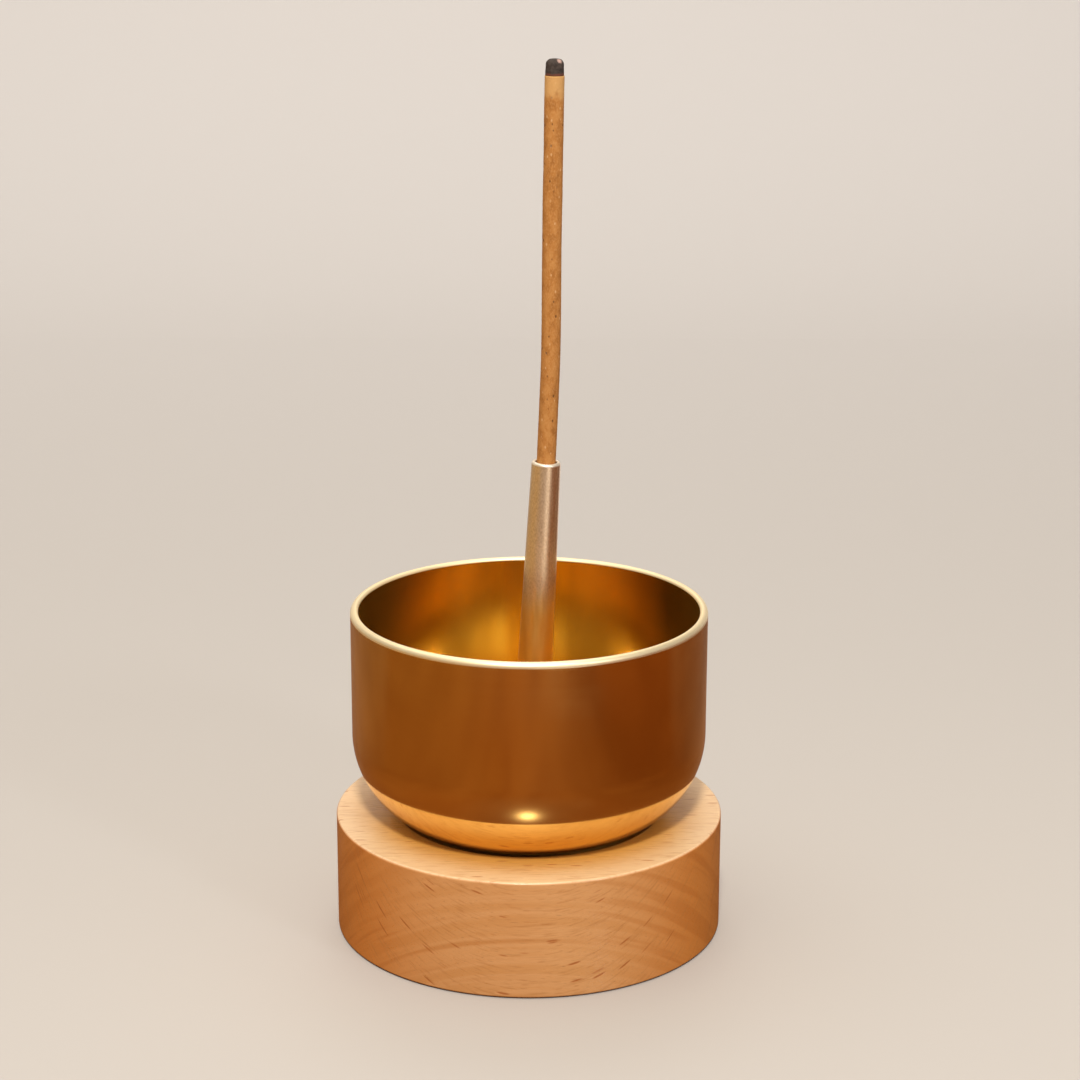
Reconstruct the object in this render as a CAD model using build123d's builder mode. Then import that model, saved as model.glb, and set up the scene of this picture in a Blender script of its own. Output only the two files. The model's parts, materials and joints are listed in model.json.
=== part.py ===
from build123d import *
from math import asin, cos, degrees, radians, sin, sqrt
import os

# Incense burner: a thin brass bowl standing in a shallow seat in a turned beech base. A tapered brass tube
# slips over a peg that is screwed to the middle of the bowl's floor, leaning a little on the slack of that
# fit, and a stick of incense stands in the tube. Millimetres, +Z up, +X to the right, +Y to the back.
# The origin is the centre of the felt pad's underside, on the surface that the burner stands on.

# Wooden base
base_diameter = 79.5
base_thickness = 24.25
base_top_round = 0.5
base_bottom_round = 0.3
seat_depth = 2.2
seat_clearance = 1.1
seat_edge_round = 0.2
pocket_depth = 4.0
pocket_clearance = 3.5

# Felt pad under the base, in a recess with a margin of wood round it
pad_margin = 5.0
pad_thickness = 1.2
pad_proud = 0.25
pad_clearance = 0.2

# Bowl
bowl_diameter = 72.5
bowl_height = 45.7
bowl_wall = 1.6
bowl_corner_radius = 19.5
lip_outer_round = min(0.9, 0.55 * bowl_wall)
lip_inner_round = min(0.7, 0.42 * bowl_wall)

# Peg that the tube slips over
flange_diameter = 16.0
flange_thickness = 2.0
flange_round = 0.6
peg_diameter = 4.8
peg_length = 12.0
peg_tip_round = 0.5
peg_thread_depth = 7.0

# M3 pan-head screw and its washer, below the bowl
screw_diameter = 3.0
screw_length = 8.0
screw_head_diameter = 5.6
screw_head_height = 2.4
screw_head_round = 1.0
drive_width = 0.8
drive_length = 3.2
drive_depth = 1.2
washer_diameter = 7.0
washer_thickness = 0.5
thread_clearance = 0.05
screw_hole_clearance = 0.2
washer_clearance = 0.1

# Incense stick
stick_length = 139.7
stick_diameter = 3.9
stick_gap = 0.05
first_bend = 82.0
second_bend = 105.0
middle_lean = 0.2
upper_lean = 0.75
bend_radius = 500.0
char_length = 3.1
char_diameter = 3.7
char_round = 1.2

# Incense tube
tube_length = 72.2
tube_wall = 0.75
tube_lean = 2.9
tube_outer_round = min(0.45, 0.6 * tube_wall)
tube_inner_round = min(0.2, 0.27 * tube_wall)
stick_clearance = 0.2
peg_slack = 0.9
tube_gap = 0.06

# Heights and radii that follow
base_radius = base_diameter / 2
wood_bottom = pad_proud
base_top = wood_bottom + base_thickness
recess_radius = base_radius - pad_margin
pad_radius = recess_radius - pad_clearance
bowl_radius = bowl_diameter / 2
bowl_bottom = base_top - seat_depth
bowl_floor = bowl_bottom + bowl_wall
bowl_rim = bowl_bottom + bowl_height
bowl_inner_radius = bowl_radius - bowl_wall
flange_top = bowl_floor + flange_thickness
peg_top = flange_top + peg_length
peg_radius = peg_diameter / 2
washer_bottom = bowl_bottom - washer_thickness
screw_radius = screw_diameter / 2
stick_radius = stick_diameter / 2

# The seat is as wide as the bowl's curve is at the top of the wood, and a gap all round.
bowl_flat_radius = bowl_radius - bowl_corner_radius
bowl_rise_at_top = bowl_corner_radius - seat_depth
bowl_radius_at_top = bowl_flat_radius + sqrt(bowl_corner_radius**2 - bowl_rise_at_top**2)
seat_radius = bowl_radius_at_top + seat_clearance

# The tube leans to +X about the middle of the peg, and its foot stops just short of the flange.
lean = radians(tube_lean)
tube_foot_bore = peg_radius + peg_slack
tube_mouth_bore = stick_radius + stick_clearance
tube_foot_radius = tube_foot_bore + tube_wall
tube_direction = Vector(sin(lean), 0, cos(lean))
tube_across = Vector(cos(lean), 0, -sin(lean))
lean_point = Vector(0, 0, flange_top + peg_length / 2)
foot_drop = (peg_length / 2 - tube_gap - tube_foot_radius * sin(lean)) / cos(lean)
tube_foot = lean_point - tube_direction * foot_drop
tube_mouth = tube_foot + tube_direction * tube_length
tube_side = Plane(origin=tube_foot, x_dir=tube_across, z_dir=(0, -1, 0))
tube_axis = Axis(tube_foot, tube_direction)

# The stick stands on the peg's tip, off the bore's middle by half its slack to +X, and passes through the
# middle of the mouth.
bore_taper = (tube_foot_bore - tube_mouth_bore) / tube_length
bore_at_peg_top = tube_foot_bore - bore_taper * peg_length
stick_offset = (bore_at_peg_top - stick_radius) / 2
offset_angle = asin(stick_offset / (tube_length - peg_length))
stick_lean = lean - offset_angle
stick_foot_height = peg_top + stick_gap + stick_radius * sin(stick_lean)
height_to_mouth = tube_mouth.Z - stick_foot_height
lower_direction = Vector(sin(stick_lean), 0, cos(stick_lean))
middle_direction = Vector(sin(radians(middle_lean)), 0, cos(radians(middle_lean)))
upper_direction = Vector(sin(radians(upper_lean)), 0, cos(radians(upper_lean)))
stick_foot = tube_mouth - lower_direction * (height_to_mouth / cos(stick_lean))
lower_end = stick_foot + lower_direction * first_bend
middle_end = lower_end + middle_direction * (second_bend - first_bend)
char_line = middle_end + upper_direction * (stick_length - char_length - second_bend)


def corner(section, x, y):
    """The corner of a section sketch nearest to a point in its own plane."""
    return section.vertices().sort_by_distance((x, y))[0]


os.makedirs("parts", exist_ok=True)

# Turned beech disc with the bowl's seat and a pocket for the screw's head in its top.
# A shallow recess in its underside takes the pad.
with BuildPart() as wooden_base:
    with BuildSketch(Plane.XY.offset(wood_bottom)):
        Circle(base_radius)
    extrude(amount=base_thickness)
    rims = wooden_base.edges().filter_by(GeomType.CIRCLE).sort_by(Axis.Z)
    fillet(rims[-1], base_top_round)
    fillet(rims[0], base_bottom_round)
    with BuildSketch(Plane.XY.offset(base_top)):
        Circle(seat_radius)
    extrude(amount=-seat_depth, mode=Mode.SUBTRACT)
    seat_edge = wooden_base.edges().filter_by(GeomType.CIRCLE).sort_by_distance((seat_radius, 0, base_top))
    fillet(seat_edge[0], seat_edge_round)
    with BuildSketch(Plane.XY.offset(bowl_bottom)):
        Circle(washer_diameter / 2 + pocket_clearance)
    extrude(amount=-pocket_depth, mode=Mode.SUBTRACT)
    with BuildSketch(Plane.XY.offset(wood_bottom)):
        Circle(recess_radius)
    extrude(amount=pad_thickness - pad_proud, mode=Mode.SUBTRACT)
wooden_base.part.label = "wooden_base"
export_step(wooden_base.part, "parts/wooden_base.step")

# Felt disc glued in the recess, a little proud of the wood.
with BuildPart() as base_pad:
    with BuildSketch(Plane.XY):
        Circle(pad_radius)
    extrude(amount=pad_thickness)
base_pad.part.label = "base_pad"
export_step(base_pad.part, "parts/base_pad.step")

# Spun brass bowl: a flat floor, a wide round corner and an upright wall with a rounded lip.
with BuildPart() as bowl:
    with BuildSketch(Plane.XZ) as bowl_section:
        with BuildLine():
            Polyline(
                (0, bowl_bottom),
                (bowl_radius, bowl_bottom),
                (bowl_radius, bowl_rim),
                (bowl_inner_radius, bowl_rim),
                (bowl_inner_radius, bowl_floor),
                (0, bowl_floor),
                close=True,
            )
        make_face()
        fillet(corner(bowl_section, bowl_radius, bowl_bottom), bowl_corner_radius)
        fillet(corner(bowl_section, bowl_inner_radius, bowl_floor), bowl_corner_radius - bowl_wall)
        fillet(corner(bowl_section, bowl_radius, bowl_rim), lip_outer_round)
        fillet(corner(bowl_section, bowl_inner_radius, bowl_rim), lip_inner_round)
    revolve(axis=Axis.Z)
    with BuildSketch(Plane.XY.offset(bowl_bottom)):
        Circle(screw_radius + screw_hole_clearance)
    extrude(amount=bowl_wall, mode=Mode.SUBTRACT)
bowl.part.label = "bowl"
export_step(bowl.part, "parts/bowl.step")

# Turned brass peg with a flange, drilled and threaded from below.
with BuildPart() as tube_peg:
    with BuildSketch(Plane.XY.offset(bowl_floor)):
        Circle(flange_diameter / 2)
    extrude(amount=flange_thickness)
    fillet(tube_peg.edges().filter_by(GeomType.CIRCLE).sort_by(Axis.Z)[-1], flange_round)
    with BuildSketch(Plane.XY.offset(flange_top)):
        Circle(peg_radius)
    extrude(amount=peg_length)
    fillet(tube_peg.edges().filter_by(GeomType.CIRCLE).sort_by(Axis.Z)[-1], peg_tip_round)
    with BuildSketch(Plane.XY.offset(bowl_floor)):
        Circle(screw_radius + thread_clearance)
    extrude(amount=peg_thread_depth, mode=Mode.SUBTRACT)
tube_peg.part.label = "tube_peg"
export_step(tube_peg.part, "parts/tube_peg.step")

# Pan-head screw with a cross recess, up through the bowl's floor into the peg. Its thread is plain.
with BuildPart() as peg_screw:
    with BuildSketch(Plane.XY.offset(washer_bottom)):
        Circle(screw_radius)
    extrude(amount=screw_length)
    with BuildSketch(Plane.XY.offset(washer_bottom)):
        Circle(screw_head_diameter / 2)
    extrude(amount=-screw_head_height)
    fillet(peg_screw.edges().filter_by(GeomType.CIRCLE).sort_by(Axis.Z)[0], screw_head_round)
    with BuildSketch(Plane.XY.offset(washer_bottom - screw_head_height)):
        Rectangle(drive_length, drive_width)
        Rectangle(drive_width, drive_length)
    extrude(amount=drive_depth, mode=Mode.SUBTRACT)
peg_screw.part.label = "peg_screw"
export_step(peg_screw.part, "parts/peg_screw.step")

# Flat washer between the screw's head and the bowl.
with BuildPart() as screw_washer:
    with BuildSketch(Plane.XY.offset(washer_bottom)):
        Circle(washer_diameter / 2)
        Circle(screw_radius + washer_clearance, mode=Mode.SUBTRACT)
    extrude(amount=washer_thickness)
screw_washer.part.label = "screw_washer"
export_step(screw_washer.part, "parts/screw_washer.step")

# Tapered brass tube: its foot goes over the peg and its mouth takes the stick.
with BuildPart() as incense_tube:
    with BuildSketch(tube_side) as tube_section:
        with BuildLine():
            Polyline(
                (tube_foot_bore, 0),
                (tube_foot_radius, 0),
                (tube_mouth_bore + tube_wall, tube_length),
                (tube_mouth_bore, tube_length),
                close=True,
            )
        make_face()
        fillet(corner(tube_section, tube_mouth_bore + tube_wall, tube_length), tube_outer_round)
        fillet(corner(tube_section, tube_mouth_bore, tube_length), tube_inner_round)
    revolve(axis=tube_axis)
incense_tube.part.label = "incense_tube"
export_step(incense_tube.part, "parts/incense_tube.step")

# Stick of pressed incense: straight inside the tube, then two slight bends above it.
with BuildLine() as stick_path:
    FilletPolyline(stick_foot, lower_end, middle_end, char_line, radius=bend_radius)
with BuildPart() as incense_stick:
    with BuildSketch(Plane(origin=stick_foot, z_dir=lower_direction)):
        Circle(stick_radius)
    sweep(path=stick_path.line)
incense_stick.part.label = "incense_stick"
export_step(incense_stick.part, "parts/incense_stick.step")

# Burnt end of the stick, shrunk and rounded by the burning.
with BuildPart() as burnt_tip:
    with BuildSketch(Plane(origin=char_line, z_dir=upper_direction)):
        Circle(char_diameter / 2)
    extrude(amount=char_length)
    fillet(burnt_tip.edges().filter_by(GeomType.CIRCLE).sort_by(Axis.Z)[-1], char_round)
burnt_tip.part.label = "burnt_tip"
export_step(burnt_tip.part, "parts/burnt_tip.step")

print("tube foot", tube_foot, "mouth", tube_mouth)
print("stick foot", stick_foot, "tip", char_line + upper_direction * char_length)
print("stick leans", round(degrees(stick_lean), 3), "degrees in the tube")
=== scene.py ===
import json
import math

import bmesh
import bpy
from mathutils import Matrix, Vector, noise


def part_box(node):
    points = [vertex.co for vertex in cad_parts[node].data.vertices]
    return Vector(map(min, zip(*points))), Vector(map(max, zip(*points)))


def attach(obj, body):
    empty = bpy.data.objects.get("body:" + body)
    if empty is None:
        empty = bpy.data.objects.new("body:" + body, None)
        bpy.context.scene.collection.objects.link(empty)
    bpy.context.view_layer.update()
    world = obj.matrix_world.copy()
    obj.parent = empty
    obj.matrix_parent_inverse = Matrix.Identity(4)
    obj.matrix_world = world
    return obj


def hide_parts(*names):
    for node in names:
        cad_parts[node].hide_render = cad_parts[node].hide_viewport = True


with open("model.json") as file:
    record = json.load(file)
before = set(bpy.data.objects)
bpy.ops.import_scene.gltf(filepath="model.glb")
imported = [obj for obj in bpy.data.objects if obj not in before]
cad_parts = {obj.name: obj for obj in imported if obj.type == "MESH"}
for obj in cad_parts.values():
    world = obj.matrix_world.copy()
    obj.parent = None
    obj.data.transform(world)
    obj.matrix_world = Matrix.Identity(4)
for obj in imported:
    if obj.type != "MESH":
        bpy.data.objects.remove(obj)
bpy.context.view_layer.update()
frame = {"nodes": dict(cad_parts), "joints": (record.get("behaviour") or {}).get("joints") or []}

mm = 0.001

# ---------------------------------------------------------------------------------------------------------
# Camera: a short telephoto a little over half a metre in front of the burner, looking down at it, turned a
# quarter of a degree to the right and rolled by less than that.
eye = Vector((0.0, -0.50135, 0.22616))
look_down = math.radians(16.05)
turn_right = math.radians(0.2475)
roll = math.radians(0.146)
camera_data = bpy.data.cameras.new("camera")
camera_data.lens = 86.38
camera_data.sensor_width = 36.0
camera_data.clip_start = 0.01
camera = bpy.data.objects.new("camera", camera_data)
camera.matrix_world = (
    Matrix.Translation(eye)
    @ Matrix.Rotation(-turn_right, 4, "Z")
    @ Matrix.Rotation(math.pi / 2 - look_down, 4, "X")
    @ Matrix.Rotation(roll, 4, "Z")
)
bpy.context.scene.collection.objects.link(camera)
bpy.context.scene.camera = camera


# ---------------------------------------------------------------------------------------------------------
# Beech base: a disc turned from one plank, its fibres running left to right, with a shallow seat for the bowl
# and a pocket for the screw's head. The edges are broken with fine paper and the wood is waxed.
def outline(corners, arc_step=math.radians(7), support=0.12 * mm):
    """Points of a turned outline. Each corner is (radius, height, rounding). A support point each side of a
    rounding keeps the flat beside it flat, and long runs are divided."""
    rounded = []
    for i, (r, z, rounding) in enumerate(corners):
        here = Vector((r, z))
        before = (Vector(corners[i - 1][:2]) - here).normalized()
        after = (Vector(corners[(i + 1) % len(corners)][:2]) - here).normalized()
        half = before.angle(after) / 2
        reach = rounding / math.tan(half)
        centre = here + (before + after).normalized() * (rounding / math.sin(half))
        start = here + before * reach - centre
        end = here + after * reach - centre
        turn = start.angle_signed(end) if rounding else 0
        steps = max(3, math.ceil(abs(turn) / arc_step)) if rounding else 0
        turns = [Matrix.Rotation(-turn * k / steps, 2) for k in range(steps + 1)] if steps else []
        rounded.append([centre + part @ start for part in turns] or [here])
    points = []
    for arc, following in zip(rounded, rounded[1:] + rounded[:1]):
        points += arc
        run = following[0] - arc[-1]
        edge = min(support, 0.3 * run.length)
        inner = run.length - 2 * edge
        pieces = max(1, math.ceil(inner / (2.5 * mm)))
        points += [arc[-1] + run.normalized() * (edge + inner * k / pieces) for k in range(pieces + 1)]
    return points


def turned(name, points, sides, placing=None):
    """A closed mesh turned about its own upright axis. Points on the axis become poles."""
    mesh = bpy.data.meshes.new(name)
    work = bmesh.new()
    rings = []
    for r, z in points:
        if r < 1e-7:
            rings.append([work.verts.new((0, 0, z))] * sides)
            continue
        angles = [2 * math.pi * k / sides for k in range(sides)]
        rings.append([work.verts.new((r * math.cos(a), r * math.sin(a), z)) for a in angles])
    for low, high in zip(rings, rings[1:] + rings[:1]):
        if low[0] is low[1] and high[0] is high[1]:
            continue
        for k in range(sides):
            n = (k + 1) % sides
            corners = dict.fromkeys((low[k], low[n], high[n], high[k]))
            work.faces.new(list(corners)).smooth = True
    bmesh.ops.recalc_face_normals(work, faces=work.faces)
    work.to_mesh(mesh)
    work.free()
    if placing:
        mesh.transform(placing)
    piece = bpy.data.objects.new(name, mesh)
    bpy.context.scene.collection.objects.link(piece)
    return piece


def node(finish, kind, inputs=None, **settings):
    """One node of a finish. An input is a value, or the output of another node."""
    made = finish.node_tree.nodes.new("ShaderNode" + kind)
    for name, value in settings.items():
        setattr(made, name, value)
    for socket, value in (inputs or {}).items():
        if isinstance(value, bpy.types.NodeSocket):
            finish.node_tree.links.new(value, made.inputs[socket])
        else:
            made.inputs[socket].default_value = value
    return made


def new_finish(name, **sockets):
    """A new material, with plain values set on its shader's own sockets."""
    finish = bpy.data.materials.new(name)
    finish.use_nodes = True
    shader = finish.node_tree.nodes["Principled BSDF"]
    for socket, value in sockets.items():
        shader.inputs[socket.replace("_", " ")].default_value = value
    return finish, shader


def feed(finish, shader, **outputs):
    """Links outputs to the shader's sockets of those names."""
    for socket, output in outputs.items():
        finish.node_tree.links.new(output, shader.inputs[socket.replace("_", " ")])


def ramp(finish, factor, *stops):
    """A colour ramp output. Each stop is (place, (red, green, blue))."""
    made = node(finish, "ValToRGB", {"Fac": factor})
    band = made.color_ramp
    while len(band.elements) < len(stops):
        band.elements.new(1.0)
    for element, (place, colour) in zip(band.elements, stops):
        element.position = place
        element.color = (*colour, 1.0)
    return made.outputs["Color"]


def stretch(finish, vector, x, y, z):
    """A vector whose features are x, y and z metres long."""
    return node(finish, "VectorMath", {0: vector, 1: (1 / x, 1 / y, 1 / z)}, operation="MULTIPLY").outputs[0]


def between(finish, value, low, high, to_low=0.0, to_high=1.0):
    """A value eased from one range to another."""
    inputs = {"Value": value, "From Min": low, "From Max": high, "To Min": to_low, "To Max": to_high}
    return node(finish, "MapRange", inputs, interpolation_type="SMOOTHSTEP").outputs["Result"]


def mixed(finish, factor, a, b, how="MIX"):
    """Two colours mixed by a factor."""
    return node(finish, "Mix", {0: factor, 6: a, 7: b}, data_type="RGBA", blend_type=how).outputs[2]


def sum_of(finish, a, b, how="ADD"):
    """Two numbers worked on together."""
    return node(finish, "Math", {0: a, 1: b}, operation=how).outputs[0]


base_low, base_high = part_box("wooden_base")
pad_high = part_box("base_pad")[1]
bowl_low, bowl_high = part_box("bowl")
base_radius = base_high.x
seat_floor = bowl_low.z
seat_radius = 26.85 * mm
pocket_radius = 7.0 * mm
pocket_depth = 4.0 * mm
pocket_floor = seat_floor - pocket_depth
pad_gap = 0.2 * mm
recess_radius = pad_high.x + pad_gap
base = turned(
    "wooden_base_turned",
    outline(
        [
            (0, pad_high.z, 0),
            (recess_radius, pad_high.z, 0),
            (recess_radius, base_low.z, 0.1 * mm),
            (base_radius, base_low.z, 0.35 * mm),
            (base_radius, base_high.z, 0.55 * mm),
            (seat_radius, base_high.z, 0.25 * mm),
            (seat_radius, seat_floor, 0.2 * mm),
            (pocket_radius, seat_floor, 0.2 * mm),
            (pocket_radius, pocket_floor, 0.5 * mm),
            (0, pocket_floor, 0),
        ]
    ),
    sides=256,
)

beech, beech_shader = new_finish("waxed_beech", Specular_IOR_Level=0.7)
beech_place = node(beech, "TexCoord").outputs["Object"]
waver = node(beech, "TexNoise", {"Vector": beech_place, "Scale": 24.0, "Detail": 2.0})
waver_shift = node(beech, "VectorMath", {0: waver.outputs["Color"], 1: (0.5, 0.5, 0.5)}, operation="SUBTRACT")
waver_size = node(beech, "VectorMath", {0: waver_shift.outputs[0], "Scale": 2.0 * mm}, operation="SCALE")
wavy = node(beech, "VectorMath", {0: beech_place, 1: waver_size.outputs[0]}, operation="ADD").outputs[0]
# The plank's own directions: X along the fibres, Y across the growth rings, Z along them.
ring_tilt = math.radians(-50)
plank = node(beech, "VectorRotate", {"Vector": wavy, "Angle": ring_tilt}, rotation_type="X_AXIS").outputs[0]


def beech_noise(x, y, z, detail):
    """Noise in the plank whose features are x, y and z metres long."""
    inputs = {"Vector": stretch(beech, plank, x, y, z), "Scale": 1.0, "Detail": detail}
    return node(beech, "TexNoise", inputs).outputs["Fac"]


def ray_flecks(x, y, z, shown_from, shown_to):
    """Thin lens-shaped flecks in the plank, only some of them shown."""
    cells = node(beech, "TexVoronoi", {"Vector": stretch(beech, plank, x, y, z), "Scale": 1.0})
    shape = between(beech, cells.outputs["Distance"], 0.16, 0.34, 1.0, 0.0)
    lottery = node(beech, "SeparateColor", {0: cells.outputs["Color"]}).outputs[0]
    return sum_of(beech, shape, between(beech, lottery, shown_from, shown_to), "MULTIPLY")


rings = between(beech, beech_noise(70 * mm, 2.4 * mm, 34 * mm, 2.0), 0.34, 0.66)
fibre_noise = beech_noise(6 * mm, 0.22 * mm, 0.22 * mm, 2.0)
fibres = between(beech, fibre_noise, 0.3, 0.7)
hairs = between(beech, beech_noise(5 * mm, 9 * mm, 0.28 * mm, 2.0), 0.52, 0.74)
pores = between(beech, beech_noise(5 * mm, 0.30 * mm, 0.30 * mm, 1.0), 0.66, 0.78)
patch_noise = node(beech, "TexNoise", {"Vector": beech_place, "Scale": 34.0}).outputs["Fac"]
patches = between(beech, patch_noise, 0.35, 0.65)
bold_flecks = ray_flecks(4.8 * mm, 15 * mm, 0.56 * mm, 0.76, 0.90)
faint_flecks = ray_flecks(3.2 * mm, 11 * mm, 0.42 * mm, 0.55, 0.8)
beech_tone = ramp(
    beech,
    rings,
    (0.0, (0.600, 0.286, 0.098)),
    (0.5, (0.660, 0.338, 0.136)),
    (0.8, (0.635, 0.315, 0.120)),
    (1.0, (0.545, 0.240, 0.074)),
)


def beech_stain(factor, strength, colour, how="MIX"):
    """Works one more tone into the beech."""
    return mixed(beech, sum_of(beech, factor, strength, "MULTIPLY"), beech_tone, (*colour, 1), how)


beech_facing = node(beech, "SeparateXYZ", {0: node(beech, "TexCoord").outputs["Normal"]})
beech_sideways = sum_of(beech, beech_facing.outputs[0], beech_facing.outputs[0], "MULTIPLY")
# Where the fibres end, at the left and right sides, the beech is darker and more orange: partly end grain
# that took more wax, partly painted shade on the sides.
end_grain_and_side_shade = between(beech, beech_sideways, 0.0, 0.75)
# Where it faces up the beech is painted paler: painted light falling on the top.
painted_top_light = between(beech, beech_facing.outputs[2], 0.3, 0.9)
beech_tone = beech_stain(patches, 0.30, (0.70, 0.39, 0.165))
beech_tone = beech_stain(end_grain_and_side_shade, 0.85, (0.97, 0.63, 0.21), "MULTIPLY")
beech_tone = beech_stain(painted_top_light, 0.60, (0.86, 0.71, 0.46))
beech_apart = node(beech, "SeparateXYZ", {0: beech_place})
beech_flat = node(beech, "CombineXYZ", {0: beech_apart.outputs[0], 1: beech_apart.outputs[1]}).outputs[0]
beech_radius = node(beech, "VectorMath", {0: beech_flat}, operation="LENGTH").outputs["Value"]
# Round the seat the beech is painted darker and more golden: painted golden light reflected from the bowl,
# and painted shade beside it.
painted_bowl_glow_and_shade = between(beech, beech_radius, seat_radius + 1.5 * mm, seat_radius + 12.0 * mm, 1.0, 0.0)
beech_tone = beech_stain(painted_bowl_glow_and_shade, 0.95, (0.82, 0.58, 0.16), "MULTIPLY")
beech_tone = beech_stain(fibres, 0.22, (0.50, 0.26, 0.10))
beech_tone = beech_stain(hairs, 0.50, (0.44, 0.19, 0.055))
beech_tone = beech_stain(pores, 0.45, (0.36, 0.17, 0.06))
beech_tone = beech_stain(faint_flecks, 0.32, (0.42, 0.165, 0.045))
beech_tone = beech_stain(bold_flecks, 0.85, (0.38, 0.115, 0.025))
beech_dull = between(beech, fibre_noise, 0.2, 0.8, 0.26, 0.38)
beech_height = sum_of(beech, fibres, sum_of(beech, bold_flecks, 1.2, "MULTIPLY"), "SUBTRACT")
beech_height = sum_of(beech, beech_height, sum_of(beech, pores, 1.5, "MULTIPLY"), "SUBTRACT")
beech_bump = node(beech, "Bump", {"Height": beech_height, "Strength": 0.35, "Distance": 0.02 * mm})
feed(
    beech,
    beech_shader,
    Base_Color=beech_tone,
    Roughness=beech_dull,
    Normal=beech_bump.outputs["Normal"],
)
base.data.materials.append(beech)
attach(base, "base")
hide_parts("wooden_base")


# ---------------------------------------------------------------------------------------------------------
# Felt pad: a disc of dark wool felt glued in the recess under the base, a little proud of the wood.
# Pressed fibres give it a dull, slightly mottled face.
felt, felt_shader = new_finish("dark_wool_felt", Roughness=0.95, Specular_IOR_Level=0.15, Sheen_Weight=0.3)
felt_place = node(felt, "TexCoord").outputs["Object"]
felt_noise = node(felt, "TexNoise", {"Vector": felt_place, "Scale": 2600.0, "Detail": 3.0})
felt_tone = ramp(felt, felt_noise.outputs["Fac"], (0.3, (0.018, 0.014, 0.012)), (0.7, (0.055, 0.045, 0.038)))
felt_bump = node(felt, "Bump", {"Height": felt_noise.outputs["Fac"], "Strength": 0.6, "Distance": 0.1 * mm})
feed(felt, felt_shader, Base_Color=felt_tone, Normal=felt_bump.outputs["Normal"])


def refinish(node_name, finish):
    """A carried-over piece gets a finish of its own."""
    mesh = frame["nodes"][node_name].data
    mesh.materials.clear()
    mesh.materials.append(finish)


refinish("base_pad", felt)


# ---------------------------------------------------------------------------------------------------------
# Bowl: spun from brass sheet, with an upright wall, a wide corner and a flat floor drilled for the screw.
# It is polished outside and softly brushed inside, and its lip is rounded and duller, with a painted pale
# highlight.
bowl_wall = 1.6 * mm
bowl_corner = 19.5 * mm
screw_hole = 1.7 * mm
bowl_radius = bowl_high.x
bowl_floor = bowl_low.z + bowl_wall
bowl_inside = bowl_radius - bowl_wall
bowl = turned(
    "bowl_spun",
    outline(
        [
            (screw_hole, bowl_low.z, 0.1 * mm),
            (bowl_radius, bowl_low.z, bowl_corner),
            (bowl_radius, bowl_high.z, 0.88 * mm),
            (bowl_inside, bowl_high.z, 0.68 * mm),
            (bowl_inside, bowl_floor, bowl_corner - bowl_wall),
            (screw_hole, bowl_floor, 0.1 * mm),
        ],
        arc_step=math.radians(2.5),
    ),
    sides=384,
)


def brass_finish(name, colour, dull_low, dull_high, brushing, mark_depth, lip=None, rays=0):
    """Brass polished while it turned: marks run round the piece, and handling leaves faint dull patches.
    Above the lip's height it is duller and painted paler, a painted highlight. Rays are waves that a pad
    leaves from the middle out; they also darken the colour in painted reflection streaks."""
    brass, shader = new_finish(name, Metallic=1.0, Anisotropic=brushing, Anisotropic_Rotation=0.25)
    place = node(brass, "TexCoord").outputs["Object"]
    apart = node(brass, "SeparateXYZ", {0: place})
    flat = node(brass, "CombineXYZ", {0: apart.outputs[0], 1: apart.outputs[1]}).outputs[0]
    radius = node(brass, "VectorMath", {0: flat}, operation="LENGTH").outputs["Value"]
    section = node(brass, "CombineXYZ", {0: radius, 1: apart.outputs[2]}).outputs[0]
    marks = node(brass, "TexNoise", {"Vector": section, "Scale": 2500.0, "Detail": 3.0}).outputs["Fac"]
    pebbles = node(brass, "TexNoise", {"Vector": place, "Scale": 1900.0, "Detail": 2.0}).outputs["Fac"]
    handled = node(brass, "TexNoise", {"Vector": place, "Scale": 70.0, "Detail": 4.0}).outputs["Fac"]
    worn = sum_of(brass, handled, sum_of(brass, marks, 0.4, "MULTIPLY"))
    dullness = between(brass, worn, 0.5, 0.95, dull_low, dull_high)
    red_shift = (*(part * k for part, k in zip(colour, (0.95, 0.89, 0.80))), 1)
    tone = mixed(brass, between(brass, handled, 0.35, 0.7, 0.0, 0.8), (*colour, 1), red_shift)
    height = sum_of(brass, sum_of(brass, pebbles, 1.2, "MULTIPLY"), marks)
    if rays:
        bearing = node(brass, "VectorMath", {0: flat}, operation="NORMALIZE").outputs[0]
        ray = node(brass, "TexNoise", {"Vector": bearing, "Scale": 3.4, "Detail": 2.0}).outputs["Fac"]
        height = sum_of(brass, height, sum_of(brass, ray, rays, "MULTIPLY"))
        dullness = sum_of(brass, dullness, between(brass, ray, 0.35, 0.65, -0.03, 0.04))
        # The rays darken the colour in radial streaks: painted reflection streaks.
        painted_ray_streaks = between(brass, ray, 0.38, 0.60, 0.0, 0.8)
        tone = mixed(brass, painted_ray_streaks, tone, (0.84, 0.78, 0.66, 1), "MULTIPLY")
    # Above the lip's height the colour is painted paler: a painted highlight.
    if lip:
        painted_lip_highlight = between(brass, apart.outputs[2], lip - 0.15 * mm, lip + 0.15 * mm)
        tone = mixed(brass, painted_lip_highlight, tone, (1.0, 0.86, 0.57, 1))
        dullness = sum_of(brass, dullness, sum_of(brass, painted_lip_highlight, 0.38, "MULTIPLY"))
    bump = node(brass, "Bump", {"Height": height, "Strength": 0.5, "Distance": mark_depth})
    tangent = node(brass, "Tangent", direction_type="RADIAL", axis="Z").outputs[0]
    feed(brass, shader, Base_Color=tone, Roughness=dullness, Normal=bump.outputs["Normal"], Tangent=tangent)
    return brass


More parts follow.
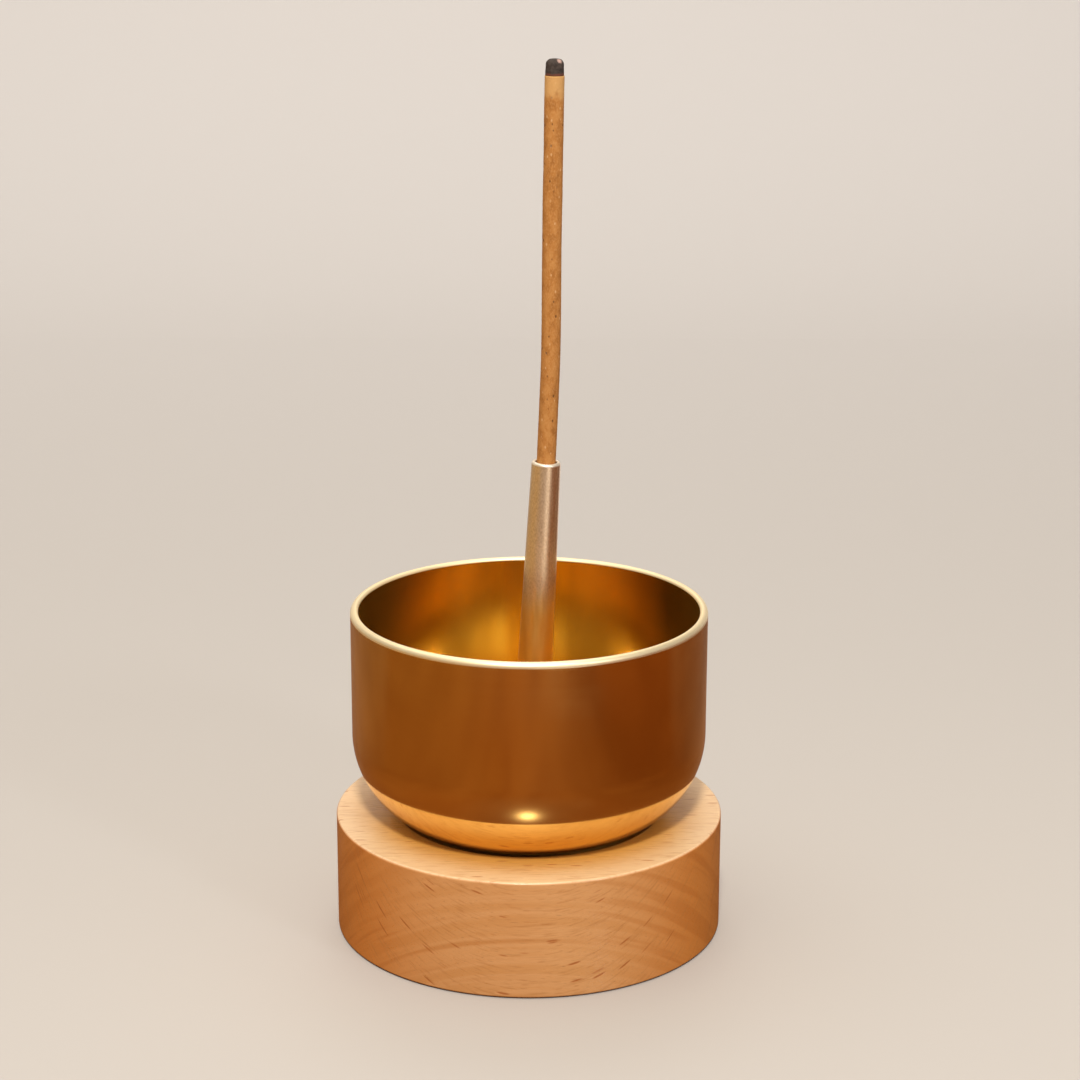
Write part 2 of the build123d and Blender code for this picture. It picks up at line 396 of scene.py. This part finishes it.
lip_start = bowl_high.z - 1.15 * mm
inner_lip_start = bowl_high.z - 0.62 * mm
spun_brass = brass_finish(
    "spun_brass",
    (0.88, 0.58, 0.185),
    dull_low=0.08,
    dull_high=0.14,
    brushing=0.2,
    mark_depth=0.0012 * mm,
    lip=lip_start,
)
# Inside, the brass colour is a little darker and redder than outside: painted shade inside the bowl.
inner_brass = brass_finish(
    "brushed_brass",
    (0.82, 0.56, 0.15),
    dull_low=0.18,
    dull_high=0.215,
    brushing=0.0,
    mark_depth=0.0015 * mm,
    lip=inner_lip_start,
    rays=25,
)
bowl.data.materials.append(spun_brass)
bowl.data.materials.append(inner_brass)
for face in bowl.data.polygons:
    outward = face.normal.x * face.center.x + face.normal.y * face.center.y
    on_floor = face.normal.z > 0.9 and face.center.z < bowl_high.z - bowl_wall
    face.material_index = 1 if outward < 0 or on_floor else 0
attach(bowl, "bowl")
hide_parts("bowl")


# ---------------------------------------------------------------------------------------------------------
# Peg, screw and washer: the peg is turned from brass bar with a flange that stands on the bowl's floor, and
# a zinc-plated screw and washer hold it from below.
turned_brass = brass_finish(
    "turned_brass", (0.86, 0.57, 0.22), dull_low=0.20, dull_high=0.32, brushing=0.3, mark_depth=0.003 * mm
)
refinish("tube_peg", turned_brass)
zinc, zinc_shader = new_finish("zinc_plate", Metallic=1.0)
zinc_place = node(zinc, "TexCoord").outputs["Object"]
zinc_noise = node(zinc, "TexNoise", {"Vector": zinc_place, "Scale": 1200.0, "Detail": 3.0}).outputs["Fac"]
zinc_tone = ramp(zinc, zinc_noise, (0.3, (0.50, 0.51, 0.52)), (0.7, (0.68, 0.68, 0.66)))
zinc_bump = node(zinc, "Bump", {"Height": zinc_noise, "Strength": 0.3, "Distance": 0.01 * mm})
feed(
    zinc,
    zinc_shader,
    Base_Color=zinc_tone,
    Roughness=between(zinc, zinc_noise, 0.3, 0.7, 0.28, 0.42),
    Normal=zinc_bump.outputs["Normal"],
)
refinish("peg_screw", zinc)
refinish("screw_washer", zinc)


# ---------------------------------------------------------------------------------------------------------
# Incense tube: drawn and tapered brass tube, paler than the bowl, with a rounded mouth painted pale as a
# highlight. It slips over the peg and leans to the right on the slack of that fit. Its low end, inside the
# bowl, is painted yellow: a painted reflection of the bowl.
tube_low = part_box("incense_tube")[0]
joint_axes = {joint["name"]: Vector(joint["axis"]).normalized() for joint in frame["joints"]}
tube_along = joint_axes["tube_lift"]
tube_wall = 0.75 * mm
tube_foot_bore = 3.3 * mm
tube_mouth_bore = 2.15 * mm
tube_length = 72.2 * mm
tube_foot_radius = tube_foot_bore + tube_wall
tube_foot = Vector((tube_low.x + tube_foot_radius * tube_along.z, 0.0, 0.0))
tube_foot.z = tube_low.z + tube_foot_radius * tube_along.x
tube_lean = Vector((0, 0, 1)).rotation_difference(tube_along).to_matrix().to_4x4()
tube_placing = Matrix.Translation(tube_foot) @ tube_lean
tube = turned(
    "incense_tube_drawn",
    outline(
        [
            (tube_foot_bore, 0, 0.1 * mm),
            (tube_foot_radius, 0, 0.15 * mm),
            (tube_mouth_bore + tube_wall, tube_length, 0.45 * mm),
            (tube_mouth_bore, tube_length, 0.22 * mm),
        ],
        arc_step=math.radians(9),
        support=0.06 * mm,
    ),
    sides=96,
    placing=tube_placing,
)
drawn_brass, drawn_shader = new_finish(
    "drawn_brass", Metallic=1.0, Anisotropic=0.3, Anisotropic_Rotation=0.25
)
drawn_place = node(drawn_brass, "TexCoord").outputs["Object"]


def drawn_noise(across, along, detail):
    """Noise on the tube whose features are so wide and so long."""
    vector = stretch(drawn_brass, drawn_place, across, across, along)
    return node(drawn_brass, "TexNoise", {"Vector": vector, "Scale": 1.0, "Detail": detail}).outputs["Fac"]


drawn_lines = drawn_noise(0.35 * mm, 6 * mm, 3.0)
drawn_grit = drawn_noise(0.30 * mm, 0.5 * mm, 2.0)
drawn_tone = ramp(drawn_brass, drawn_grit, (0.3, (0.70, 0.52, 0.31)), (0.7, (0.88, 0.69, 0.46)))
from_foot = node(drawn_brass, "VectorMath", {0: drawn_place, 1: tube_foot}, operation="SUBTRACT").outputs[0]
up_tube = node(
    drawn_brass, "VectorMath", {0: from_foot, 1: tuple(tube_along)}, operation="DOT_PRODUCT"
).outputs["Value"]
# The mouth's rim is painted pale: a painted highlight.
painted_mouth_highlight = between(drawn_brass, up_tube, tube_length - 0.65 * mm, tube_length - 0.45 * mm)
drawn_tone = mixed(drawn_brass, painted_mouth_highlight, drawn_tone, (1.0, 0.90, 0.74, 1))
# Inside the bowl the tube is painted yellow: a painted reflection of the bowl.
painted_bowl_reflection = between(drawn_brass, up_tube, 40 * mm, 48 * mm, 1.0, 0.0)
drawn_tone = mixed(drawn_brass, painted_bowl_reflection, drawn_tone, (1.0, 0.76, 0.27, 1))
drawn_dull = between(drawn_brass, drawn_lines, 0.25, 0.75, 0.28, 0.38)
drawn_dull = sum_of(drawn_brass, drawn_dull, sum_of(drawn_brass, painted_mouth_highlight, 0.15, "MULTIPLY"))
drawn_height = sum_of(drawn_brass, sum_of(drawn_brass, drawn_lines, 0.6, "MULTIPLY"), drawn_grit)
drawn_bump = node(drawn_brass, "Bump", {"Height": drawn_height, "Strength": 0.5, "Distance": 0.018 * mm})
feed(
    drawn_brass,
    drawn_shader,
    Base_Color=drawn_tone,
    Roughness=drawn_dull,
    Normal=drawn_bump.outputs["Normal"],
    Tangent=node(
        drawn_brass,
        "VectorMath",
        {0: tuple(tube_along), 1: node(drawn_brass, "TexCoord").outputs["Normal"]},
        operation="CROSS_PRODUCT",
    ).outputs[0],
)
tube.data.materials.append(drawn_brass)
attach(tube, "tube")
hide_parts("incense_tube")


# ---------------------------------------------------------------------------------------------------------
# Incense stick: wood and resin powder pressed through a die and dried, so it is a little crooked and uneven,
# with pale grains and dark pinholes in it. It stands on the peg inside the tube.
stick_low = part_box("incense_stick")[0]
tip_low, tip_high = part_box("burnt_tip")
stick_along = joint_axes["stick_lift"]
stick_radius = 1.95 * mm
lower_lean = math.asin(stick_along.x)
middle_lean = math.radians(0.2)
upper_lean = math.radians(0.75)
stick_foot = Vector((stick_low.x + stick_radius * stick_along.z, 0.0, 0.0))
stick_foot.z = stick_low.z + stick_radius * stick_along.x
stick_length = 136.6 * mm
char_length = 3.1 * mm


def eased(value, low, high):
    """From 0 at low to 1 at high, smoothly."""
    t = min(1.0, max(0.0, (value - low) / (high - low)))
    return t * t * (3 - 2 * t)


def stick_lean(s):
    """How far the stick leans, this far along it."""
    lean = lower_lean + (middle_lean - lower_lean) * eased(s, 73 * mm, 91 * mm)
    return lean + (upper_lean - middle_lean) * eased(s, 100 * mm, 110 * mm)


def along_stick(start, length, step):
    """Places along the stick's middle line: distance, point and lean."""
    places = []
    point = stick_foot.copy()
    s = 0.0
    while s < start + length + step / 2:
        if s > start - step / 2:
            places.append((s, point.copy(), stick_lean(s)))
        lean = stick_lean(s + step / 2)
        point += Vector((math.sin(lean), 0, math.cos(lean))) * step
        s += step
    return places


def rod(name, places, sides, girth):
    """A closed rod round a middle line. girth gives its radius at a distance, a point and a way outwards."""
    mesh = bpy.data.meshes.new(name)
    work = bmesh.new()
    rings = []
    for s, point, lean in places:
        across = Vector((math.cos(lean), 0, -math.sin(lean)))
        ring = []
        for k in range(sides):
            angle = 2 * math.pi * k / sides
            out = across * math.cos(angle) + Vector((0, 1, 0)) * math.sin(angle)
            ring.append(work.verts.new(point + out * girth(s, point, out)))
        rings.append(ring)
    for low, high in zip(rings, rings[1:]):
        for k in range(sides):
            n = (k + 1) % sides
            work.faces.new((low[k], low[n], high[n], high[k])).smooth = True
    for ring, flip in ((rings[0], True), (rings[-1], False)):
        middle = work.verts.new(sum((v.co for v in ring), Vector()) / sides)
        for k in range(sides):
            n = (k + 1) % sides
            corners = (ring[k], ring[n], middle)
            work.faces.new(corners[::-1] if flip else corners).smooth = True
    work.to_mesh(mesh)
    work.free()
    piece = bpy.data.objects.new(name, mesh)
    bpy.context.scene.collection.objects.link(piece)
    return piece


def stick_girth(s, point, out):
    """The stick is uneven all over."""
    surface = point + out * stick_radius
    swell = 0.035 * mm * noise.noise(Vector((out.x, out.y, s / (9 * mm))))
    grain = 0.022 * mm * noise.noise(surface / (0.75 * mm))
    fine = 0.012 * mm * noise.noise(surface / (0.3 * mm))
    return stick_radius - 0.04 * mm + swell + grain + fine


stick_places = along_stick(0.0, stick_length, step=0.25 * mm)
stick = rod("incense_stick_pressed", stick_places, sides=64, girth=stick_girth)
pressed, pressed_shader = new_finish("pressed_incense", Specular_IOR_Level=0.25)
pressed_place = node(pressed, "TexCoord").outputs["Object"]


def pressed_noise(across, along, detail):
    """Noise on the stick whose features are so wide and so long."""
    vector = stretch(pressed, pressed_place, across, across, along)
    return node(pressed, "TexNoise", {"Vector": vector, "Scale": 1.0, "Detail": detail}).outputs["Fac"]


pressed_coarse = pressed_noise(1.2 * mm, 2.2 * mm, 4.0)
pressed_fine = pressed_noise(0.28 * mm, 0.45 * mm, 3.0)
pressed_tone = ramp(
    pressed,
    pressed_coarse,
    (0.3, (0.315, 0.125, 0.025)),
    (0.5, (0.415, 0.175, 0.040)),
    (0.72, (0.480, 0.225, 0.062)),
)


def pressed_stain(factor, strength, colour):
    """Works one more tone into the stick."""
    return mixed(pressed, sum_of(pressed, factor, strength, "MULTIPLY"), pressed_tone, (*colour, 1))


pale_dust = between(pressed, pressed_fine, 0.42, 0.7)
pressed_tone = pressed_stain(pale_dust, 0.45, (0.55, 0.28, 0.10))
grain_place = stretch(pressed, pressed_place, 0.85 * mm, 0.85 * mm, 1.5 * mm)
grain_cells = node(pressed, "TexVoronoi", {"Vector": grain_place, "Scale": 1.0})
grain_spot = between(pressed, grain_cells.outputs["Distance"], 0.12, 0.26, 1.0, 0.0)
grain_parts = node(pressed, "SeparateColor", {0: grain_cells.outputs["Color"]})
pale_grain = sum_of(pressed, grain_spot, between(pressed, grain_parts.outputs[0], 0.62, 0.72), "MULTIPLY")
pinhole = sum_of(pressed, grain_spot, between(pressed, grain_parts.outputs[1], 0.86, 0.90), "MULTIPLY")
pressed_tone = pressed_stain(pale_grain, 0.38, (0.80, 0.55, 0.30))
pressed_tone = pressed_stain(pinhole, 0.8, (0.10, 0.04, 0.012))
height_up = node(pressed, "SeparateXYZ", {0: pressed_place}).outputs[2]
scorch_edge = sum_of(pressed, height_up, sum_of(pressed, pressed_coarse, 3.0 * mm, "MULTIPLY"))
scorched = between(pressed, scorch_edge, tip_low.z - 3.6 * mm, tip_low.z - 1.2 * mm)
pressed_tone = pressed_stain(scorched, 0.75, (0.60, 0.355, 0.135))
pressed_height = sum_of(pressed, pressed_fine, sum_of(pressed, pinhole, 2.0, "MULTIPLY"), "SUBTRACT")
pressed_bump = node(pressed, "Bump", {"Height": pressed_height, "Strength": 0.6, "Distance": 0.06 * mm})
feed(
    pressed,
    pressed_shader,
    Base_Color=pressed_tone,
    Roughness=between(pressed, pressed_fine, 0.2, 0.8, 0.72, 0.92),
    Normal=pressed_bump.outputs["Normal"],
)
stick.data.materials.append(pressed)
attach(stick, "stick")
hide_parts("incense_stick")


# ---------------------------------------------------------------------------------------------------------
# Burnt tip: the charred end of the stick, shrunk and rounded where it glowed, with a fleck of pale ash on one
# shoulder and a thin red-brown line where the char begins.
char_radius = 1.85 * mm
char_round = 1.0 * mm


def char_girth(s, point, out):
    """The char narrows upwards and rounds in at its shoulders, and its skin is cracked."""
    t = (s - stick_length) / char_length
    shoulder = max(0.0, (s - stick_length) - (char_length - char_round)) / char_round
    body = char_radius - 0.16 * mm * t
    rounded = body - char_round * (1 - math.sqrt(max(0.0, 1 - min(1.0, shoulder) ** 2)))
    crack = 0.06 * mm * noise.noise((point + out * char_radius) / (0.7 * mm))
    return max(0.12 * mm, rounded + crack)


tip_places = along_stick(stick_length, char_length, step=0.05 * mm)
tip = rod("burnt_tip_charred", tip_places, sides=64, girth=char_girth)
char, char_shader = new_finish("char_and_ash", Specular_IOR_Level=0.3)
char_place = node(char, "TexCoord").outputs["Object"]
char_noise = node(char, "TexNoise", {"Vector": char_place, "Scale": 1600.0, "Detail": 4.0}).outputs["Fac"]
char_tone = ramp(char, char_noise, (0.3, (0.019, 0.013, 0.011)), (0.7, (0.072, 0.055, 0.047)))
ash_centre = Vector((tip_high.x - 1.05 * mm, -0.9 * mm, tip_high.z - 0.55 * mm))
ash_from = node(char, "VectorMath", {0: char_place, 1: ash_centre}, operation="DISTANCE").outputs["Value"]
ash_edge = sum_of(char, ash_from, sum_of(char, char_noise, 0.6 * mm, "MULTIPLY"))
ash = between(char, ash_edge, 0.65 * mm, 1.0 * mm, 1.0, 0.0)
char_tone = mixed(char, ash, char_tone, (0.42, 0.28, 0.24, 1))
char_up = node(char, "SeparateXYZ", {0: char_place}).outputs[2]
red_edge = sum_of(char, char_up, sum_of(char, char_noise, 0.8 * mm, "MULTIPLY"))
red_line = between(char, red_edge, tip_low.z + 0.5 * mm, tip_low.z + 1.0 * mm, 1.0, 0.0)
char_tone = mixed(char, sum_of(char, red_line, 0.8, "MULTIPLY"), char_tone, (0.15, 0.045, 0.025, 1))
char_bump = node(char, "Bump", {"Height": char_noise, "Strength": 0.8, "Distance": 0.08 * mm})
feed(
    char,
    char_shader,
    Base_Color=char_tone,
    Roughness=between(char, char_noise, 0.3, 0.7, 0.7, 0.95),
    Normal=char_bump.outputs["Normal"],
)
tip.data.materials.append(char)
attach(tip, "stick")
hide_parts("burnt_tip")


# ---------------------------------------------------------------------------------------------------------
# Studio: a pale floor sheet and a pale back wall with a curved foot, and under the sheet a brown board that
# the camera doesn't see. The metal mirrors the board and the wood takes its warm bounce, as on a table.
def panel(name, corners, finish):
    """A flat or curved stage panel from rows of points."""
    mesh = bpy.data.meshes.new(name)
    work = bmesh.new()
    rows = [[work.verts.new(p) for p in row] for row in corners]
    for low, high in zip(rows, rows[1:]):
        for k in range(len(low) - 1):
            work.faces.new((low[k], low[k + 1], high[k + 1], high[k])).smooth = True
    work.to_mesh(mesh)
    work.free()
    piece = bpy.data.objects.new(name, mesh)
    piece.data.materials.append(finish)
    bpy.context.scene.collection.objects.link(piece)
    return piece


paper, paper_shader = new_finish("pale_paper", Roughness=0.9)
paper_place = node(paper, "TexCoord").outputs["Object"]
paper_noise = node(paper, "TexNoise", {"Vector": paper_place, "Scale": 900.0, "Detail": 3.0})
paper_height = paper_noise.outputs["Fac"]
paper_bump = node(paper, "Bump", {"Height": paper_height, "Strength": 0.1, "Distance": 0.05 * mm})
# The paper is painted darker towards the front and paler towards the back wall: painted light and shade.
paper_painted_light = between(paper, node(paper, "SeparateXYZ", {0: paper_place}).outputs[1], 0.1, 1.1)
paper_tone = ramp(paper, paper_painted_light, (0.0, (0.47, 0.45, 0.43)), (1.0, (0.65, 0.635, 0.63)))
feed(paper, paper_shader, Base_Color=paper_tone, Normal=paper_bump.outputs["Normal"])
half_width = 3.0
floor_front = -2.5
wall_y = 1.1
wall_top = 2.6
cove = 0.5
cove_steps = 24
cove_angles = [math.pi / 2 * k / cove_steps for k in range(cove_steps + 1)]
curve = [(wall_y - cove + cove * math.sin(a), cove - cove * math.cos(a)) for a in cove_angles]
curve += [(wall_y, wall_top)]
panel("backdrop", [[(-half_width, y, z), (half_width, y, z)] for y, z in curve], paper)
floor_rows = [(floor_front, 0.0), (wall_y - cove, 0.0)]
floor_sheet = panel("floor_sheet", [[(-half_width, y, z), (half_width, y, z)] for y, z in floor_rows], paper)

board, board_shader = new_finish("brown_board", Roughness=0.22)
board_place = node(board, "TexCoord").outputs["Object"]
board_noise = node(board, "TexNoise", {"Vector": board_place, "Scale": 14.0, "Detail": 5.0}).outputs["Fac"]
board_side = node(board, "SeparateXYZ", {0: board_place}).outputs[0]
board_mark = sum_of(board, board_side, sum_of(board, board_noise, 0.06, "MULTIPLY"))
board_tone = ramp(
    board,
    between(board, board_mark, -0.25, 0.25),
    (0.0, (0.196, 0.091, 0.030)),
    (0.45, (0.194, 0.078, 0.023)),
    (0.60, (0.200, 0.085, 0.032)),
    (0.80, (0.172, 0.070, 0.024)),
    (0.90, (0.128, 0.045, 0.013)),
    (1.0, (0.150, 0.050, 0.014)),
)
# It is dull, but shines at one place in front of the burner and a little behind it. Past its round edge it
# has the tones of a room, with a pale right side.
board_reach = node(board, "VectorMath", {0: board_place}, operation="LENGTH").outputs["Value"]
shine_place = (0, -0.066, 0)
shine_radius = 0.055
shine_from = node(board, "VectorMath", {0: board_place, 1: shine_place}, operation="DISTANCE")
shine = between(board, shine_from.outputs["Value"], 0.0, shine_radius, 0.44, 0.0)
board_back = between(board, node(board, "SeparateXYZ", {0: board_place}).outputs[1], 0.0, 0.1, 0.0, 0.15)
board_edge = between(board, board_reach, 0.25, 0.29)
board_turn = sum_of(board, board_side, board_reach, "DIVIDE")
board_outer = ramp(
    board,
    between(board, board_turn, -1.0, 1.0),
    (0.0, (0.46, 0.31, 0.12)),
    (0.02, (0.44, 0.30, 0.12)),
    (0.12, (0.30, 0.25, 0.22)),
    (0.50, (0.27, 0.24, 0.27)),
    (0.60, (0.34, 0.31, 0.34)),
    (0.70, (0.92, 0.90, 0.98)),
    (0.88, (0.92, 0.90, 0.98)),
    (0.95, (0.16, 0.06, 0.025)),
)
board_grain = node(board, "TexNoise", {"Vector": stretch(board, board_place, 0.05, 0.12, 1.0), "Scale": 1.0})
board_figure = between(board, board_grain.outputs["Fac"], 0.35, 0.65)
board_tone = mixed(board, board_figure, board_tone, (0.84, 0.78, 0.70, 1), "MULTIPLY")
board_tone = mixed(board, board_edge, board_tone, board_outer)
feed(
    board,
    board_shader,
    Base_Color=board_tone,
    Specular_IOR_Level=sum_of(board, board_back, shine),
)
board_depth = -0.3 * mm
board_half = 2.5
board_far = 0.7
board_rows = [[(-board_half, y, board_depth), (board_half, y, board_depth)] for y in (floor_front, board_far)]
panel("table_board", board_rows, board).visible_camera = False
# Only the camera sees the floor sheet. Bounced light, mirrors and shadows have the board under it.
floor_sheet.visible_diffuse = False
floor_sheet.visible_glossy = False
floor_sheet.visible_transmission = False
floor_sheet.visible_shadow = False

lamp_aim = Vector((0, 0, 0.05))


def softbox(name, bearing, elevation, distance, width, power, colour):
    """A round lamp that faces the burner. Bearing 0 is straight in front of it, 90 is on its right."""
    data = bpy.data.lights.new(name, "AREA")
    data.shape = "DISK"
    data.size = width
    data.energy = power
    data.color = colour
    lamp = bpy.data.objects.new(name, data)
    b, e = math.radians(bearing), math.radians(elevation)
    way = Vector((math.sin(b) * math.cos(e), -math.cos(b) * math.cos(e), math.sin(e)))
    lamp.location = lamp_aim + way * distance
    lamp.rotation_euler = way.to_track_quat("Z", "Y").to_euler()
    bpy.context.scene.collection.objects.link(lamp)


warm = (1.0, 0.93, 0.84)
softbox("key_lamp", -1, 49, distance=1.2, width=0.14, power=12.4, colour=(1.0, 0.90, 0.78))
softbox("ceiling_lamp", -145, 66, distance=1.5, width=2.2, power=10.5, colour=warm)
softbox("back_lamp", 180, 60, distance=1.3, width=0.5, power=2.2, colour=warm)
softbox("window_lamp", 42, 24, distance=1.3, width=0.20, power=2.0, colour=(0.92, 0.97, 1.0))
world = bpy.data.worlds.new("room")
world.use_nodes = True
world.node_tree.nodes["Background"].inputs["Color"].default_value = (1.0, 0.93, 0.86, 1)
world.node_tree.nodes["Background"].inputs["Strength"].default_value = 0.55
bpy.context.scene.world = world
bpy.context.scene.view_settings.view_transform = "Standard"
